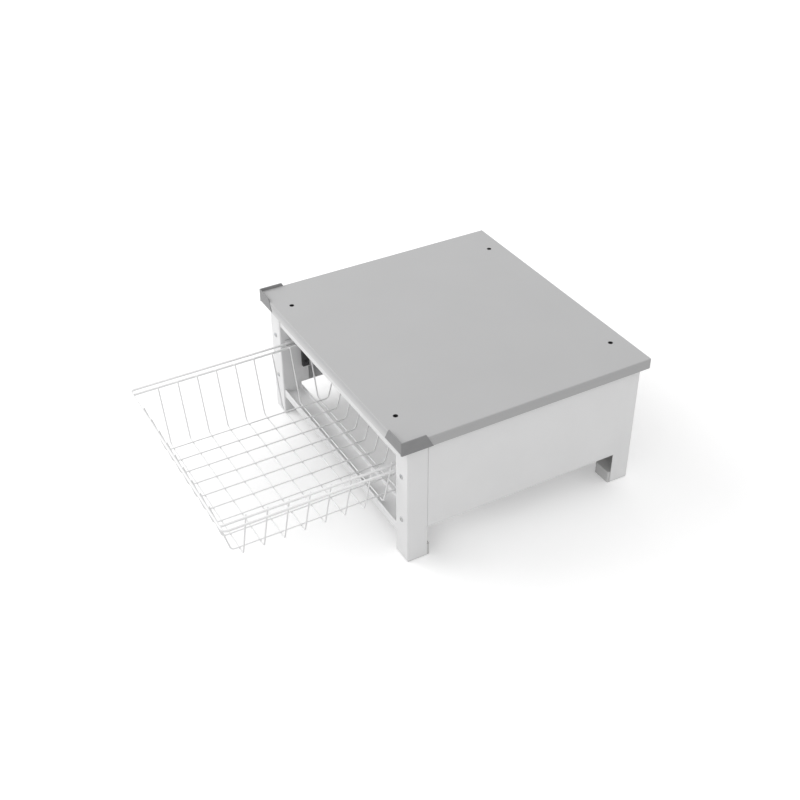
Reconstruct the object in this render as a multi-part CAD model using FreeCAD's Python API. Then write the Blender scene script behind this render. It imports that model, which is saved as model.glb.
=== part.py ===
import FreeCAD, Part
import math
import os

# A washing machine pedestal: a folded sheet steel stand with a wire basket that pulls out.
# All lengths are in millimetres. X is to the right, Y to the back, Z up, floor at zero.
# The stand is drawn about its own middle and moved at the end, so that the origin is under
# the middle of the whole object with the basket pulled out.

V = FreeCAD.Vector

# Overall sizes of the stand
plate_width = 600.0
plate_depth = 547.7
stand_height = 287.9

# Top plate
plate_sheet = 1.5
plate_lip_height = 22.1
plate_round = 2.0
fixing_hole_diameter = 10.0
fixing_hole_from_side = 83.0
fixing_hole_from_end = 34.35
bushing_wall = 1.0
bushing_length = 8.0

# Legs
leg_sheet = 1.5
leg_width = 44.4
leg_depth = 42.7
leg_bend = 1.5
front_leg_reveal = 0.5
plate_past_legs_side = 7.65
plate_past_legs_front = 16.0

# Foot caps
foot_pad_height = 2.0
foot_pad_inset = 1.0
foot_plug_height = 24.0
foot_past_leg = 6.0
foot_plug_clearance = 0.3
foot_round = 2.5

# Side panels
panel_sheet = 1.2
panel_bottom_height = 71.0
panel_end_lip = 18.0
panel_top_flange = 20.0
panel_bend = 0.3
panel_fold_round = 1.5
panel_past_legs = 1.0

# Rails between the legs
rail_sheet = 1.5
rail_bend = 1.5
rail_setback = 2.5
rail_depth = 42.0
rail_tab_depth = 18.0
top_rail_height = 64.0
top_rail_bottom_flange = 20.0
bottom_rail_top_height = 62.8
bottom_rail_lip = 18.0
bottom_rail_trough = 8.0
bottom_rail_tab_height = 19.0
bottom_rail_hem_round = 1.0

# Stiffeners under the plate
stiffener_from_plate_side = 160.0
stiffener_crown = 40.0
stiffener_flange = 16.0
stiffener_height = 22.0
stiffener_end_gap = 0.3

# Corner stops
stop_wrap = 1.0
stop_wall = 1.6
stop_rise = 6.5
stop_side_arm = 65.5
stop_front_arm = 61.5
stop_front_arm_raise = 3.5
stop_end_slant = 15.0
stop_edge_round = 0.8

# Basket
rim_wire = 5.0
mesh_wire = 3.0
rim_corner_radius = 10.0
rim_inside_legs = 8.65
rim_below_stand_top = 104.2
rail_wire_inside_rim = 16.3
floor_inside_rim_sides = 55.3
floor_inside_rim_ends = 35.3
floor_above_bottom_rail = 1.0
wires_each_way = 9
outer_cross_wire_inset = 16.0
outer_long_wire_inset = 16.8
wire_bend_radius = 10.0
weld_gap = 0.05
closed_rim_behind_plate = 11.5
closed_rim_to_rear_legs = 42.9
open_rim_behind_front_legs = 59.45

# Runners
runner_sheet = 1.2
runner_bend = 0.4
runner_wire_clearance = 0.3
runner_flange = 12.5
runner_end_setback = 7.85
runner_stop_clearance = 0.5

# Guide brackets
guide_length = 15.0
guide_thickness = 8.0
guide_behind_leg = 3.0
guide_height = 66.4
guide_arm_height = 11.0
guide_tooth_width = 7.3
guide_tooth_rise = 11.0
guide_side_clearance = 1.9
guide_runner_gap = 0.3
guide_edge_round = 0.8

# Bolts between the legs and the side panels
bolt_diameter = 6.0
bolt_hole_clearance = 0.2
bolt_head_diameter = 10.5
bolt_head_height = 1.8
bolt_socket_width = 4.0
bolt_socket_depth = 1.2
bolt_nut_width = 10.0
bolt_nut_height = 5.0
bolt_end_past_nut = 2.0
lower_bolt_above_panel_bottom = 20.4
upper_bolt_below_stand_top = 95.0

# Screws of the rails
screw_diameter = 5.0
screw_hole_clearance = 0.2
screw_head_diameter = 9.5
screw_head_height = 3.0
screw_nut_width = 8.0
screw_nut_height = 4.0
screw_end_past_nut = 1.5
screw_edge_distance = 13.5

# Weld studs under the plate
stud_diameter = 6.0
stud_end_past_nut = 3.0
rail_stud_share = 0.4
panel_stud_from_legs = 95.15

# Screws of the guide brackets
guide_screw_diameter = 3.5
guide_screw_head_diameter = 7.0
guide_screw_head_height = 2.4
guide_screw_length = 14.0
guide_screw_edge_distance = 12.0
guide_screw_hole_clearance = 0.05

# Shared by all fasteners
hexagon_sides = 6
thread_gap = 0.05
screw_head_round = 0.9

# One overrun for all cuts
cut_overrun = 5.0

# Places that follow from the sizes
plate_half_width = plate_width / 2
plate_half_depth = plate_depth / 2
frame_top = stand_height - plate_sheet
lip_bottom = stand_height - plate_lip_height
leg_outer_x = plate_half_width - plate_past_legs_side
leg_outer_y = plate_half_depth - plate_past_legs_front
leg_inner_x = leg_outer_x - leg_width
panel_outer_x = leg_outer_x + panel_past_legs
leg_inner_y = leg_outer_y - leg_depth
rim_r = rim_wire / 2
mesh_r = mesh_wire / 2
rail_stud_x = plate_half_width * rail_stud_share
panel_stud_y = leg_inner_y - panel_stud_from_legs
lower_bolt_height = panel_bottom_height + lower_bolt_above_panel_bottom
upper_bolt_height = stand_height - upper_bolt_below_stand_top

# The basket's place and size, which follow from the stand
rim_half_width = leg_inner_x - rim_inside_legs
rim_height = stand_height - rim_below_stand_top
closed_rim_front_y = -plate_half_depth + closed_rim_behind_plate
closed_rim_rear_y = leg_inner_y - closed_rim_to_rear_legs
rim_half_depth = (closed_rim_rear_y - closed_rim_front_y) / 2
rim_rear_y = -leg_inner_y + open_rim_behind_front_legs
basket_y = rim_rear_y - rim_half_depth
rim_front_y = basket_y - rim_half_depth
travel_in = closed_rim_front_y - rim_front_y
rail_wire_x = rim_half_width - rail_wire_inside_rim
floor_half_width = rim_half_width - floor_inside_rim_sides
floor_half_depth = rim_half_depth - floor_inside_rim_ends
cross_wire_height = bottom_rail_top_height + floor_above_bottom_rail + mesh_r
long_wire_height = cross_wire_height + mesh_wire + weld_gap
cross_wire_pitch = 2 * (floor_half_depth - outer_cross_wire_inset) / (wires_each_way - 1)
long_wire_pitch = 2 * (floor_half_width - outer_long_wire_inset) / (wires_each_way - 1)

# The runners, which follow from the rim wire that slides in them
runner_slot = rim_wire + 2 * runner_wire_clearance
runner_bottom = rim_height - runner_slot / 2 - runner_sheet
runner_top = rim_height + runner_slot / 2 + runner_sheet
runner_half_length = leg_outer_y - runner_end_setback
guide_top = runner_bottom - guide_runner_gap
guide_bottom = guide_top - guide_height
guide_front_y = -leg_inner_y + guide_behind_leg
guide_rear_y = guide_front_y + guide_length

# The whole object's length, for its middle
whole_front_y = rim_front_y - rim_r
whole_rear_y = plate_half_depth
shift_y = -(whole_front_y + whole_rear_y) / 2

shapes = {}


def box(x0, x1, y0, y1, z0, z1):
    """A box between two corners, given in any order."""
    low = V(min(x0, x1), min(y0, y1), min(z0, z1))
    return Part.makeBox(abs(x1 - x0), abs(y1 - y0), abs(z1 - z0), low)


def cylinder(diameter, start, end):
    """A round bar between two points."""
    axis = end - start
    return Part.makeCylinder(diameter / 2, axis.Length, start, axis)


def hexagon(width, start, end):
    """A six-sided bar between two points, measured across its flats."""
    axis = end - start
    corner_radius = width / (2 * math.cos(math.pi / hexagon_sides))
    ring = Part.makeCircle(corner_radius, start, axis)
    points = ring.discretize(hexagon_sides + 1)
    return Part.Face(Part.makePolygon(points)).extrude(axis)


def nut(width, bolt, start, end):
    """A six-sided nut between two points, on a bolt of the given diameter."""
    bore = bolt + 2 * thread_gap
    return hexagon(width, start, end).cut(cylinder(bore, start, end))


def screw(diameter, head_diameter, head_top, seat, tip):
    """A screw with a round head between its top and its seat, and a shank to its tip."""
    head = cylinder(head_diameter, head_top, seat)
    rim = [edge for edge in head.Edges if edge.CenterOfMass.distanceToPoint(head_top) < thread_gap]
    head = head.makeFillet(screw_head_round, rim)
    return fuse([head, cylinder(diameter, seat, tip)])


def rounded_edges(points, radii, closed):
    """Straight edges through the points with a tangent arc of the given radius at each."""
    count = len(points)
    entries = []
    exits = []
    middles = []
    for i in range(count):
        point = points[i]
        radius = radii[i]
        at_end = not closed and i in (0, count - 1)
        if radius == 0 or at_end:
            entries.append(point)
            exits.append(point)
            middles.append(None)
            continue
        before = (points[i - 1] - point).normalize()
        after = (points[(i + 1) % count] - point).normalize()
        half_turn = (math.pi - before.getAngle(after)) / 2
        reach = radius * math.tan(half_turn)
        inward = (before + after).normalize()
        entries.append(point + before * reach)
        exits.append(point + after * reach)
        middles.append(point + inward * (radius / math.cos(half_turn) - radius))
    edges = []
    for i in range(count):
        if middles[i] is not None:
            edges.append(Part.Arc(entries[i], middles[i], exits[i]).toShape())
        if i == count - 1 and not closed:
            break
        target = entries[(i + 1) % count]
        if (target - exits[i]).Length > 0:
            edges.append(Part.LineSegment(exits[i], target).toShape())
    return edges


def outline(points, radii):
    """A flat face inside a rounded closed outline."""
    return Part.Face(Part.Wire(rounded_edges(points, radii, True)))


def folded_outline(line, sheet, bend, place):
    """The face of a folded sheet: line is its middle, as pairs, and place makes them points."""
    count = len(line)
    sides = []
    for side in (1, -1):
        offsets = []
        radii = []
        for i in range(count):
            normals = []
            for j in (i - 1, i):
                if 0 <= j < count - 1:
                    du = line[j + 1][0] - line[j][0]
                    dv = line[j + 1][1] - line[j][1]
                    length = math.hypot(du, dv)
                    normals.append((-dv / length, du / length))
            nu = sum(n[0] for n in normals)
            nv = sum(n[1] for n in normals)
            scale = side * sheet / 2 * len(normals) / (nu * nu + nv * nv)
            offsets.append((line[i][0] + nu * scale, line[i][1] + nv * scale))
            if len(normals) == 1:
                radii.append(0)
                continue
            turn = normals[0][0] * normals[1][1] - normals[0][1] * normals[1][0]
            radii.append(bend if turn * side > 0 else bend + sheet)
        sides.append((offsets, radii))
    pairs = sides[0][0] + sides[1][0][::-1]
    radii = sides[0][1] + sides[1][1][::-1]
    return outline([place(u, v) for u, v in pairs], radii)


def rod(points, radii, diameter):
    """A bent wire of round section along an open route."""
    path = Part.Wire(rounded_edges(points, radii, False))
    start = points[0]
    section = Part.Wire([Part.makeCircle(diameter / 2, start, points[1] - start)])
    return path.makePipeShell([section], True, False)


def fuse(parts):
    """One clean solid from overlapping or touching parts."""
    whole = parts[0]
    if len(parts) > 1:
        whole = whole.fuse(parts[1:])
    return whole.removeSplitter()


def cut(shape, tools):
    """The shape less all the tools."""
    return shape.cut(Part.makeCompound(tools))


# Top plate


def plate_block(inset, low):
    """The plate's filled form down to a given height, its faces moved inward by the inset."""
    x = plate_half_width - inset
    y = plate_half_depth - inset
    body = box(-x, x, -y, y, low, stand_height - inset)
    edges = [edge for edge in body.Edges if edge.BoundBox.ZMax > low + weld_gap]
    return body.makeFillet(plate_round - inset, edges)


def fixing_hole_places():
    """The four fixing holes, as x and y."""
    half_x = plate_half_width - fixing_hole_from_side
    half_y = plate_half_depth - fixing_hole_from_end
    return [(sx * half_x, sy * half_y) for sx in (-1, 1) for sy in (-1, 1)]


def fixing_hole_cutters():
    """Cutters for the fixing holes, through the plate and the upper flange of a rail."""
    low = frame_top - cut_overrun
    high = stand_height + cut_overrun
    cutters = []
    for x, y in fixing_hole_places():
        cutters.append(cylinder(fixing_hole_diameter, V(x, y, low), V(x, y, high)))
    return cutters


def top_plate():
    """The pan with its lip and its four fixing holes."""
    pan = plate_block(0, lip_bottom).cut(plate_block(plate_sheet, lip_bottom - cut_overrun))
    return cut(pan, fixing_hole_cutters())


def plate_hole_bushings():
    """Short plastic tubes that line the fixing holes, flush with the plate's face."""
    bushings = []
    for x, y in fixing_hole_places():
        top = V(x, y, stand_height)
        low = V(x, y, stand_height - bushing_length)
        bore = cylinder(fixing_hole_diameter - 2 * bushing_wall, top, low)
        bushings.append(cylinder(fixing_hole_diameter, top, low).cut(bore))
    return bushings


# Corner stops


def corner_stop(side):
    """A thin L-shaped stop that wraps one front corner of the plate and stands above it."""
    outer_x = plate_half_width + stop_wrap
    outer_y = plate_half_depth + stop_wrap
    outer_round = plate_round + stop_wrap
    inner_round = plate_round - stop_wall
    inner_x = outer_x - stop_wrap - stop_wall
    inner_y = outer_y - stop_wrap - stop_wall
    arm_x = outer_x - stop_front_arm
    arm_y = outer_y - stop_side_arm
    top = stand_height + stop_rise
    corners = [
        (arm_x, outer_y), (outer_x, outer_y), (outer_x, arm_y),
        (inner_x, arm_y), (inner_x, inner_y), (arm_x, inner_y),
    ]
    radii = [0, outer_round, 0, 0, inner_round, 0]
    points = [V(side * x, -y, lip_bottom) for x, y in corners]
    body = outline(points, radii).extrude(V(0, 0, top - lip_bottom))
    past = cut_overrun
    front_wedge = [
        V(side * (arm_x - past), -outer_y - past, lip_bottom),
        V(side * arm_x, -outer_y - past, lip_bottom),
        V(side * (arm_x + stop_end_slant), -outer_y - past, top),
        V(side * (arm_x + stop_end_slant), -outer_y - past, top + past),
        V(side * (arm_x - past), -outer_y - past, top + past),
    ]
    front_cut = Part.Face(Part.makePolygon(front_wedge + front_wedge[:1]))
    front_cut = front_cut.extrude(V(0, outer_y - inner_y + 2 * past, 0))
    side_wedge = [
        V(side * (outer_x + past), -arm_y + past, lip_bottom),
        V(side * (outer_x + past), -arm_y, lip_bottom),
        V(side * (outer_x + past), -arm_y - stop_end_slant, top),
        V(side * (outer_x + past), -arm_y - stop_end_slant, top + past),
        V(side * (outer_x + past), -arm_y + past, top + past),
    ]
    side_cut = Part.Face(Part.makePolygon(side_wedge + side_wedge[:1]))
    side_cut = side_cut.extrude(V(-side * (outer_x - inner_x + 2 * past), 0, 0))
    arm_bottom = lip_bottom + stop_front_arm_raise
    step_x = outer_x - outer_round
    under_cut = box(
        side * (arm_x - past), side * step_x,
        -outer_y - past, -inner_y + past,
        lip_bottom - past, arm_bottom,
    )
    body = cut(body, [front_cut, side_cut, under_cut])
    top_edges = []
    for edge in body.Edges:
        if edge.BoundBox.ZMin > top - weld_gap:
            top_edges.append(edge)
    body = body.makeFillet(stop_edge_round, top_edges)
    return body.cut(plate_block(0, lip_bottom - cut_overrun))


# Legs and foot caps


def leg_point(side, end):
    """Turns a leg's own measures, inward from its outer corner, into places on the floor."""
    def place(u, v):
        return V(side * (leg_outer_x - u), end * (leg_outer_y - v), foot_pad_height)
    return place


def leg_line(end):
    """The middle of the leg's sheet: inner side, end face, outer side with any reveal."""
    half = leg_sheet / 2
    reveal = front_leg_reveal if end < 0 else 0.0
    return [
        (leg_width - half, leg_depth),
        (leg_width - half, half),
        (half, half),
        (half, leg_depth - reveal),
    ]


def leg_bolt_x():
    """Distance of the leg's middle from the middle of the stand."""
    return leg_outer_x - leg_width / 2


def bolt_heights():
    return (lower_bolt_height, upper_bolt_height)


def leg_bolt_cutters(side, end):
    """Cutters for the bolts, through the leg and the end of the side panel."""
    hole = bolt_diameter + 2 * bolt_hole_clearance
    cutters = []
    for z in bolt_heights():
        outer = V(side * leg_bolt_x(), end * (leg_outer_y + cut_overrun), z)
        inner = V(side * leg_bolt_x(), end * (leg_inner_y - cut_overrun), z)
        cutters.append(cylinder(hole, outer, inner))
    return cutters


def leg_side_screws():
    """Height and distance from the leg's end face of each screw in the leg's inner side."""
    tab_middle = rail_setback + rail_tab_depth / 2
    return {
        "top_rail_upper": (frame_top - screw_edge_distance, tab_middle),
        "top_rail_lower": (frame_top - top_rail_height + screw_edge_distance, tab_middle),
        "bottom_rail": (bottom_rail_screw_height(), tab_middle),
    }


def bottom_rail_screw_height():
    """Middle of the bottom rail's end tab, which points down from its web."""
    web_top = bottom_rail_top_height - bottom_rail_trough
    return web_top - (rail_sheet + bottom_rail_tab_height) / 2


def screw_cutters(side, end, names):
    """Cutters for screws through the leg's inner side and what lies against it."""
    hole = screw_diameter + 2 * screw_hole_clearance
    cutters = []
    for name in names:
        z, v = leg_side_screws()[name]
        y = end * (leg_outer_y - v)
        start = V(side * (leg_inner_x - cut_overrun), y, z)
        finish = V(side * (leg_inner_x + cut_overrun), y, z)
        cutters.append(cylinder(hole, start, finish))
    return cutters


def leg(side, end):
    face = folded_outline(leg_line(end), leg_sheet, leg_bend, leg_point(side, end))
    body = face.extrude(V(0, 0, frame_top - foot_pad_height))
    holes = leg_bolt_cutters(side, end)
    holes += screw_cutters(side, end, leg_side_screws().keys())
    return cut(body, holes)


def foot_cap(side, end):
    """A pad under the leg with a plug that fits in it and closes its open side."""
    place = leg_point(side, end)
    inset = foot_pad_inset
    past = leg_depth + foot_past_leg
    pad_corners = [
        (inset, inset), (leg_width - inset, inset), (leg_width - inset, past), (inset, past),
    ]
    pad = outline([place(u, v) for u, v in pad_corners], [foot_round] * 4)
    pad = pad.extrude(V(0, 0, -foot_pad_height))
    wall = leg_sheet + foot_plug_clearance
    plug_corners = [
        (wall, wall), (leg_width - wall, wall), (leg_width - wall, past), (wall, past),
    ]
    plug = outline([place(u, v) for u, v in plug_corners], [foot_round] * 4)
    plug = plug.extrude(V(0, 0, foot_plug_height))
    return fuse([pad, plug])


# Side panels


def panel_block(side, inset):
    """The side panel's filled form, with every face moved inward by the inset."""
    near = leg_inner_x + inset
    far = panel_outer_x - inset
    end = leg_inner_y - inset
    low = panel_bottom_height + inset
    high = frame_top - inset
    corners = [(near, -end), (near, end), (far, end), (far, -end)]
    turn = panel_bend + panel_sheet - inset
    face = outline([V(side * x, y, low) for x, y in corners], [0, 0, turn, turn])
    block = face.extrude(V(0, 0, high - low))
    folds = []
    for edge in block.Edges:
        size = edge.BoundBox
        past_near = max(abs(size.XMin), abs(size.XMax)) > near + weld_gap
        if size.ZLength < weld_gap and past_near:
            folds.append(edge)
    return block.makeFillet(panel_fold_round - inset, folds)


def side_panel(side):
    """A folded tray that is open towards the basket, with a narrow flange at the top."""
    body = panel_block(side, 0).cut(panel_block(side, panel_sheet))
    near = side * (leg_inner_x - cut_overrun)
    lip_end = leg_inner_y - panel_end_lip
    inside_end = leg_inner_y - panel_sheet
    floor_top = panel_bottom_height + panel_sheet
    lip_far = side * (leg_inner_x + panel_sheet + cut_overrun)
    window_top = frame_top + cut_overrun
    window = box(near, lip_far, -lip_end, lip_end, floor_top, window_top)
    flange_edge = side * (panel_outer_x - panel_top_flange)
    flange_bottom = frame_top - panel_sheet
    top_gap = box(near, flange_edge, -inside_end, inside_end, flange_bottom, window_top)
    body = body.cut(Part.makeCompound([window, top_gap]))
    holes = leg_bolt_cutters(side, -1) + leg_bolt_cutters(side, 1)
    holes += guide_screw_cutters(side)
    for end in (-1, 1):
        holes.append(stud_cutter(side * panel_stud_x(), end * panel_stud_y))
    return cut(body, holes)


# Rails between the legs


def end_tab(side, end, z0, z1):
    """The tab at a rail's end that lies against the leg's inner side."""
    outer = leg_outer_y - rail_setback
    y0 = end * outer
    y1 = end * (outer - rail_tab_depth)
    return box(side * leg_inner_x, side * (leg_inner_x - rail_sheet), y0, y1, z0, z1)


def top_rail(end):
    """A channel under the plate, open towards the middle of the stand."""
    half = rail_sheet / 2
    face_y = leg_outer_y - rail_setback
    low = frame_top - top_rail_height
    line = [
        (face_y - rail_depth, frame_top - half),
        (face_y - half, frame_top - half),
        (face_y - half, low + half),
        (face_y - top_rail_bottom_flange, low + half),
    ]

    def place(u, v):
        return V(-leg_inner_x, end * u, v)

    body = folded_outline(line, rail_sheet, rail_bend, place).extrude(V(2 * leg_inner_x, 0, 0))
    tabs = [end_tab(side, end, low + half, frame_top - half) for side in (-1, 1)]
    holes = fixing_hole_cutters()
    for side in (-1, 1):
        holes += screw_cutters(side, end, ["top_rail_upper", "top_rail_lower"])
        holes.append(stud_cutter(side * rail_stud_x, end * rail_stud_y()))
    return cut(fuse([body] + tabs), holes)


def bottom_rail(end):
    """A shallow trough between the legs whose outer wall is folded down into a lip."""
    half = rail_sheet / 2
    face_y = leg_outer_y - rail_setback
    top = bottom_rail_top_height
    web_top = top - bottom_rail_trough
    outer_wall_y = face_y - rail_sheet - half
    inner_wall_y = face_y - rail_depth + half
    line = [
        (inner_wall_y, top), (inner_wall_y, web_top - half),
        (outer_wall_y, web_top - half), (outer_wall_y, top),
    ]

    def place(u, v):
        return V(-leg_inner_x, end * u, v)

    trough = folded_outline(line, rail_sheet, rail_bend, place)
    trough = trough.extrude(V(2 * leg_inner_x, 0, 0))
    lip_y = face_y - rail_sheet
    lip_bottom_z = top - bottom_rail_lip
    lip = box(-leg_inner_x, leg_inner_x, end * face_y, end * lip_y, lip_bottom_z, top)
    tab_low = web_top - bottom_rail_tab_height
    tabs = [end_tab(side, end, tab_low, web_top - half) for side in (-1, 1)]
    holes = []
    for side in (-1, 1):
        holes += screw_cutters(side, end, ["bottom_rail"])
    body = fuse([trough, lip] + tabs)
    hem = []
    for edge in body.Edges:
        size = edge.BoundBox
        at_wall = max(abs(size.YMin), abs(size.YMax)) > outer_wall_y - rail_sheet
        if size.XLength > leg_inner_x and size.ZMin > top - weld_gap and at_wall:
            hem.append(edge)
    return cut(body.makeFillet(bottom_rail_hem_round, hem), holes)


# Stiffeners under the plate


def stiffener(side):
    """A hat-shaped channel from the front rail to the rear rail."""
    half = stiffener_crown / 2
    sheet = rail_sheet
    top = frame_top - sheet / 2
    low = frame_top - stiffener_height + sheet / 2
    middle = side * (plate_half_width - stiffener_from_plate_side)
    reach = leg_outer_y - rail_setback - rail_depth - stiffener_end_gap
    line = [
        (-half - stiffener_flange, top), (-half, top), (-half, low),
        (half, low), (half, top), (half + stiffener_flange, top),
    ]

    def place(u, v):
        return V(middle + u, -reach, v)

    return folded_outline(line, sheet, rail_bend, place).extrude(V(0, 2 * reach, 0))


# Runners and guide brackets


def runner(side):
    """A channel for the basket's rim wire, welded to both legs, with a stop at the back."""
    half = runner_sheet / 2
    tip = leg_inner_x - runner_flange
    line = [
        (tip, runner_top - half), (leg_inner_x - half, runner_top - half),
        (leg_inner_x - half, runner_bottom + half), (tip, runner_bottom + half),
    ]

    def place(u, v):
        return V(side * u, -runner_half_length, v)

    channel = folded_outline(line, runner_sheet, runner_bend, place)
    channel = channel.extrude(V(0, 2 * runner_half_length, 0))
    stop_y = closed_rim_rear_y + rim_r + runner_stop_clearance
    stop = box(
        side * leg_inner_x, side * tip,
        stop_y, stop_y + runner_sheet,
        runner_bottom + half, runner_top - half,
    )
    return fuse([channel, stop])


def guide_screw_heights():
    low = guide_bottom + guide_screw_edge_distance
    arm_bottom = guide_top - guide_arm_height
    return (low, arm_bottom - guide_screw_edge_distance)


def guide_screw_cutters(side):
    """Cutters for the guide bracket's screws, through the bracket and the panel's lip."""
    hole = guide_screw_diameter + 2 * guide_screw_hole_clearance
    y = (guide_front_y + guide_rear_y) / 2
    start_x = leg_inner_x - guide_thickness
    end_x = leg_inner_x + cut_overrun
    cutters = []
    for z in guide_screw_heights():
        cutters.append(cylinder(hole, V(side * start_x, y, z), V(side * end_x, y, z)))
    return cutters


def guide_bracket(side):
    """Plastic bracket under the runner whose tooth stands between the two rim wires."""
    inner_wire_face = rail_wire_x + rim_r
    tooth_x = inner_wire_face + guide_side_clearance
    tooth_top = guide_top + guide_tooth_rise
    arm_bottom = guide_top - guide_arm_height
    leg_x = side * leg_inner_x
    back_x = side * (leg_inner_x - guide_thickness)
    near_x = side * tooth_x
    far_x = side * (tooth_x + guide_tooth_width)
    back = box(leg_x, back_x, guide_front_y, guide_rear_y, guide_bottom, guide_top)
    arm = box(leg_x, near_x, guide_front_y, guide_rear_y, arm_bottom, guide_top)
    tooth = box(near_x, far_x, guide_front_y, guide_rear_y, arm_bottom, tooth_top)
    body = fuse([back, arm, tooth])
    edges = []
    for edge in body.Edges:
        if edge.BoundBox.YLength > guide_length - weld_gap:
            edges.append(edge)
    body = body.makeFillet(guide_edge_round, edges)
    return cut(body, guide_screw_cutters(side))


# Fasteners


def leg_bolts():
    """Bolts through the legs into the side panels, and their nuts."""
    bolts = []
    nuts = []
    head_top_y = leg_outer_y + bolt_head_height
    nut_seat_y = leg_inner_y - panel_sheet
    nut_end_y = nut_seat_y - bolt_nut_height
    for side in (-1, 1):
        for end in (-1, 1):
            for z in bolt_heights():
                x = side * leg_bolt_x()
                seat = V(x, end * leg_outer_y, z)
                head_top = V(x, end * head_top_y, z)
                tip = V(x, end * (nut_end_y - bolt_end_past_nut), z)
                socket_floor = V(x, end * (head_top_y - bolt_socket_depth), z)
                bolt = screw(bolt_diameter, bolt_head_diameter, head_top, seat, tip)
                bolts.append(bolt.cut(hexagon(bolt_socket_width, socket_floor, head_top)))
                nut_seat = V(x, end * nut_seat_y, z)
                nut_end = V(x, end * nut_end_y, z)
                nuts.append(nut(bolt_nut_width, bolt_diameter, nut_seat, nut_end))
    return bolts, nuts


def frame_screws():
    """Screws of the rails through the legs' inner sides, and their nuts."""
    screws = []
    nuts = []
    seat_x = leg_inner_x - rail_sheet
    nut_seat_x = leg_inner_x + leg_sheet
    nut_end_x = nut_seat_x + screw_nut_height
    for side in (-1, 1):
        for end in (-1, 1):
            for z, v in leg_side_screws().values():
                y = end * (leg_outer_y - v)
                seat = V(side * seat_x, y, z)
                head_top = V(side * (seat_x - screw_head_height), y, z)
                tip = V(side * (nut_end_x + screw_end_past_nut), y, z)
                screws.append(screw(screw_diameter, screw_head_diameter, head_top, seat, tip))
                nut_seat = V(side * nut_seat_x, y, z)
                nut_end = V(side * nut_end_x, y, z)
                nuts.append(nut(screw_nut_width, screw_diameter, nut_seat, nut_end))
    return screws, nuts


def rail_stud_y():
    """Middle of the top rail's flange."""
    return leg_outer_y - rail_setback - rail_depth / 2


def panel_stud_x():
    """Middle of the side panel's top flange."""
    return panel_outer_x - panel_top_flange / 2 - panel_sheet / 2


def stud_cutter(x, y):
    """Cutter for a stud's hole through a flange under the plate."""
    hole = stud_diameter + 2 * bolt_hole_clearance
    return cylinder(hole, V(x, y, frame_top - cut_overrun), V(x, y, frame_top + cut_overrun))


def plate_studs():
    """Studs welded under the plate, and the nuts that hold it to rails and panels."""
    places = []
    for end in (-1, 1):
        for side in (-1, 1):
            places.append((side * rail_stud_x, end * rail_stud_y(), rail_sheet))
            places.append((side * panel_stud_x(), end * panel_stud_y, panel_sheet))
    studs = []
    nuts = []
    for x, y, sheet in places:
        nut_top = frame_top - sheet
        nut_low = nut_top - bolt_nut_height
        stud_end = nut_low - stud_end_past_nut
        studs.append(cylinder(stud_diameter, V(x, y, frame_top), V(x, y, stud_end)))
        nuts.append(nut(bolt_nut_width, stud_diameter, V(x, y, nut_top), V(x, y, nut_low)))
    return studs, nuts


def guide_screws():
    """Screws that hold the guide brackets to the side panels' end lips."""
    screws = []
    y = (guide_front_y + guide_rear_y) / 2
    seat_x = leg_inner_x - guide_thickness
    for side in (-1, 1):
        for z in guide_screw_heights():
            head_top = V(side * (seat_x - guide_screw_head_height), y, z)
            seat = V(side * seat_x, y, z)
            tip = V(side * (seat_x + guide_screw_length), y, z)
            screws.append(
                screw(guide_screw_diameter, guide_screw_head_diameter, head_top, seat, tip)
            )
    return screws


# Basket


def tangent_end(corner_across, corner_height, wire_across):
    """Upper end of a sloping wire that passes just inside a rim wire, as across and height."""
    reach = rim_r + mesh_r + weld_gap
    across = wire_across - corner_across
    height = rim_height - corner_height
    distance = math.hypot(across, height)
    angle = math.atan2(height, across) + math.asin(reach / distance)
    length = math.sqrt(distance * distance - reach * reach) + mesh_r
    return corner_across + length * math.cos(angle), corner_height + length * math.sin(angle)


def rim_frame():
    """The rim's outer wire, one closed loop that slides in the runners."""
    x = rim_half_width
    y0 = rim_front_y
    y1 = rim_rear_y
    start = V(0, y0, rim_height)
    points = [
        start,
        V(x, y0, rim_height), V(x, y1, rim_height),
        V(-x, y1, rim_height), V(-x, y0, rim_height),
        start,
    ]
    radii = [0] + [rim_corner_radius] * 4 + [0]
    path = Part.Wire(rounded_edges(points, radii, False))
    section = Part.Wire([Part.makeCircle(rim_r, start, V(1, 0, 0))])
    return path.makePipeShell([section], True, False)


def rail_wire(side):
    """A straight wire inside the rim that the cross wires are welded to."""
    x = side * rail_wire_x
    reach = rim_half_depth - rim_r - weld_gap
    return cylinder(
        rim_wire,
        V(x, basket_y - reach, rim_height),
        V(x, basket_y + reach, rim_height),
    )


def cross_wire(index):
    """A wire down one side of the basket, across its floor and up the other side."""
    y = basket_y + (index - (wires_each_way - 1) / 2) * cross_wire_pitch
    top_x, top = tangent_end(floor_half_width, cross_wire_height, rail_wire_x)
    points = [
        V(-top_x, y, top), V(-floor_half_width, y, cross_wire_height),
        V(floor_half_width, y, cross_wire_height), V(top_x, y, top),
    ]
    return rod(points, [0, wire_bend_radius, wire_bend_radius, 0], mesh_wire)


def long_wire(index):
    """A wire down the front of the basket, along its floor and up the back."""
    x = (index - (wires_each_way - 1) / 2) * long_wire_pitch
    low = long_wire_height
    reach, top = tangent_end(floor_half_depth, low, rim_half_depth)
    points = [
        V(x, basket_y - reach, top), V(x, basket_y - floor_half_depth, low),
        V(x, basket_y + floor_half_depth, low), V(x, basket_y + reach, top),
    ]
    return rod(points, [0, wire_bend_radius, wire_bend_radius, 0], mesh_wire)


# The whole object


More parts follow.
